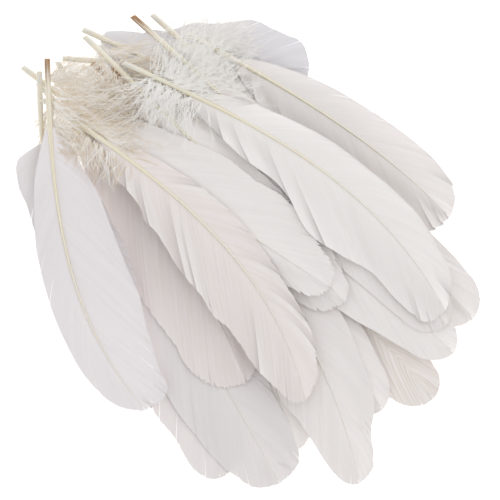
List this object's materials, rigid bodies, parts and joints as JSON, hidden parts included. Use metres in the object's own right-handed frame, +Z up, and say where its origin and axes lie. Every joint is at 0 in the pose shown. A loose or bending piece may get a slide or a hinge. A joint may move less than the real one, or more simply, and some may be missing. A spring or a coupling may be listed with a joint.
{
  "type": "loose goose feathers",
  "caption": "Fanned heap of loose white goose feathers, bare quills gathered at one corner, each feather free to swing about its quill.",
  "frame": {"origin": "centre of the fan's footprint, on the surface that it lies on", "axes": "+Z up; the bare quills gather towards -X +Y and the vanes' tips spread towards +X and -Y"},
  "size_m": [0.2022, 0.2118, 0.0392],
  "materials": {
    "quill": "translucent cream keratin, satin",
    "vane": "white barbs, soft sheen"
  },
  "bodies": {
    "feather_01": {"feather_01_shaft": "quill", "feather_01_narrow_vane": "vane", "feather_01_wide_vane": "vane"},
    "feather_02": {"feather_02_shaft": "quill", "feather_02_narrow_vane": "vane", "feather_02_wide_vane": "vane"},
    "feather_03": {"feather_03_shaft": "quill", "feather_03_narrow_vane": "vane", "feather_03_wide_vane": "vane"},
    "feather_04": {"feather_04_shaft": "quill", "feather_04_narrow_vane": "vane", "feather_04_wide_vane": "vane"},
    "feather_05": {"feather_05_shaft": "quill", "feather_05_narrow_vane": "vane", "feather_05_wide_vane": "vane"},
    "feather_06": {"feather_06_shaft": "quill", "feather_06_narrow_vane": "vane", "feather_06_wide_vane": "vane"},
    "feather_07": {"feather_07_shaft": "quill", "feather_07_narrow_vane": "vane", "feather_07_wide_vane": "vane"},
    "feather_08": {"feather_08_shaft": "quill", "feather_08_narrow_vane": "vane", "feather_08_wide_vane": "vane"},
    "feather_09": {"feather_09_shaft": "quill", "feather_09_narrow_vane": "vane", "feather_09_wide_vane": "vane"},
    "feather_10": {"feather_10_shaft": "quill", "feather_10_narrow_vane": "vane", "feather_10_wide_vane": "vane"},
    "feather_11": {"feather_11_shaft": "quill", "feather_11_narrow_vane": "vane", "feather_11_wide_vane": "vane"},
    "feather_12": {"feather_12_shaft": "quill", "feather_12_narrow_vane": "vane", "feather_12_wide_vane": "vane"},
    "feather_13": {"feather_13_shaft": "quill", "feather_13_narrow_vane": "vane", "feather_13_wide_vane": "vane"},
    "feather_14": {"feather_14_shaft": "quill", "feather_14_narrow_vane": "vane", "feather_14_wide_vane": "vane"},
    "feather_15": {"feather_15_shaft": "quill", "feather_15_narrow_vane": "vane", "feather_15_wide_vane": "vane"},
    "feather_16": {"feather_16_shaft": "quill", "feather_16_narrow_vane": "vane", "feather_16_wide_vane": "vane"},
    "feather_17": {"feather_17_shaft": "quill", "feather_17_narrow_vane": "vane", "feather_17_wide_vane": "vane"},
    "feather_18": {"feather_18_shaft": "quill", "feather_18_narrow_vane": "vane", "feather_18_wide_vane": "vane"},
    "feather_19": {"feather_19_shaft": "quill", "feather_19_narrow_vane": "vane", "feather_19_wide_vane": "vane"}
  },
  "joints": [
    {"name": "feather_01_swing", "type": "hinge", "parent": "feather_04", "child": "feather_01", "pos_m": [-0.07794, 0.08479, 0.00137], "axis": [0, 0, 1], "range_deg": [-4, 4]},
    {"name": "feather_02_swing", "type": "hinge", "parent": "feather_04", "child": "feather_02", "pos_m": [-0.06822, 0.09494, 0.00443], "axis": [0, 0, 1], "range_deg": [-4, 4]},
    {"name": "feather_03_swing", "type": "hinge", "parent": "feather_04", "child": "feather_03", "pos_m": [-0.08133, 0.07335, 0.00424], "axis": [0, 0, 1], "range_deg": [-4, 4]},
    {"name": "feather_05_swing", "type": "hinge", "parent": "feather_04", "child": "feather_05", "pos_m": [-0.03574, 0.09727, 0.00603], "axis": [0, 0, 1], "range_deg": [-4, 4]},
    {"name": "feather_06_swing", "type": "hinge", "parent": "feather_04", "child": "feather_06", "pos_m": [-0.02104, 0.09204, 0.00765], "axis": [0, 0, 1], "range_deg": [-4, 4]},
    {"name": "feather_07_swing", "type": "hinge", "parent": "feather_04", "child": "feather_07", "pos_m": [-0.05589, 0.07128, 0.00705], "axis": [0, 0, 1], "range_deg": [-4, 4]},
    {"name": "feather_08_swing", "type": "hinge", "parent": "feather_04", "child": "feather_08", "pos_m": [-0.07777, 0.0541, 0.00844], "axis": [0, 0, 1], "range_deg": [-4, 4]},
    {"name": "feather_09_swing", "type": "hinge", "parent": "feather_04", "child": "feather_09", "pos_m": [-0.08805, 0.06687, 0.01228], "axis": [0, 0, 1], "range_deg": [-4, 4]},
    {"name": "feather_10_swing", "type": "hinge", "parent": "feather_04", "child": "feather_10", "pos_m": [-0.06021, 0.06704, 0.01282], "axis": [0, 0, 1], "range_deg": [-4, 4]},
    {"name": "feather_11_swing", "type": "hinge", "parent": "feather_04", "child": "feather_11", "pos_m": [-0.04202, 0.056, 0.01506], "axis": [0, 0, 1], "range_deg": [-4, 4]},
    {"name": "feather_12_swing", "type": "hinge", "parent": "feather_04", "child": "feather_12", "pos_m": [-0.06079, 0.0747, 0.0199], "axis": [0, 0, 1], "range_deg": [-4, 4]},
    {"name": "feather_13_swing", "type": "hinge", "parent": "feather_04", "child": "feather_13", "pos_m": [-0.04382, 0.09542, 0.02151], "axis": [0, 0, 1], "range_deg": [-4, 4]},
    {"name": "feather_14_swing", "type": "hinge", "parent": "feather_04", "child": "feather_14", "pos_m": [-0.06647, 0.08734, 0.02362], "axis": [0, 0, 1], "range_deg": [-4, 4]},
    {"name": "feather_15_swing", "type": "hinge", "parent": "feather_04", "child": "feather_15", "pos_m": [-0.09262, 0.07413, 0.02644], "axis": [0, 0, 1], "range_deg": [-4, 4]},
    {"name": "feather_16_swing", "type": "hinge", "parent": "feather_04", "child": "feather_16", "pos_m": [-0.09254, 0.07147, 0.02943], "axis": [0, 0, 1], "range_deg": [-4, 4]},
    {"name": "feather_17_swing", "type": "hinge", "parent": "feather_04", "child": "feather_17", "pos_m": [-0.0465, 0.07762, 0.02528], "axis": [0, 0, 1], "range_deg": [-4, 4]},
    {"name": "feather_18_swing", "type": "hinge", "parent": "feather_04", "child": "feather_18", "pos_m": [-0.08252, 0.06003, 0.0305], "axis": [0, 0, 1], "range_deg": [-4, 4]},
    {"name": "feather_19_swing", "type": "hinge", "parent": "feather_04", "child": "feather_19", "pos_m": [-0.0884, 0.07326, 0.03617], "axis": [0, 0, 1], "range_deg": [-4, 4]}
  ]
}
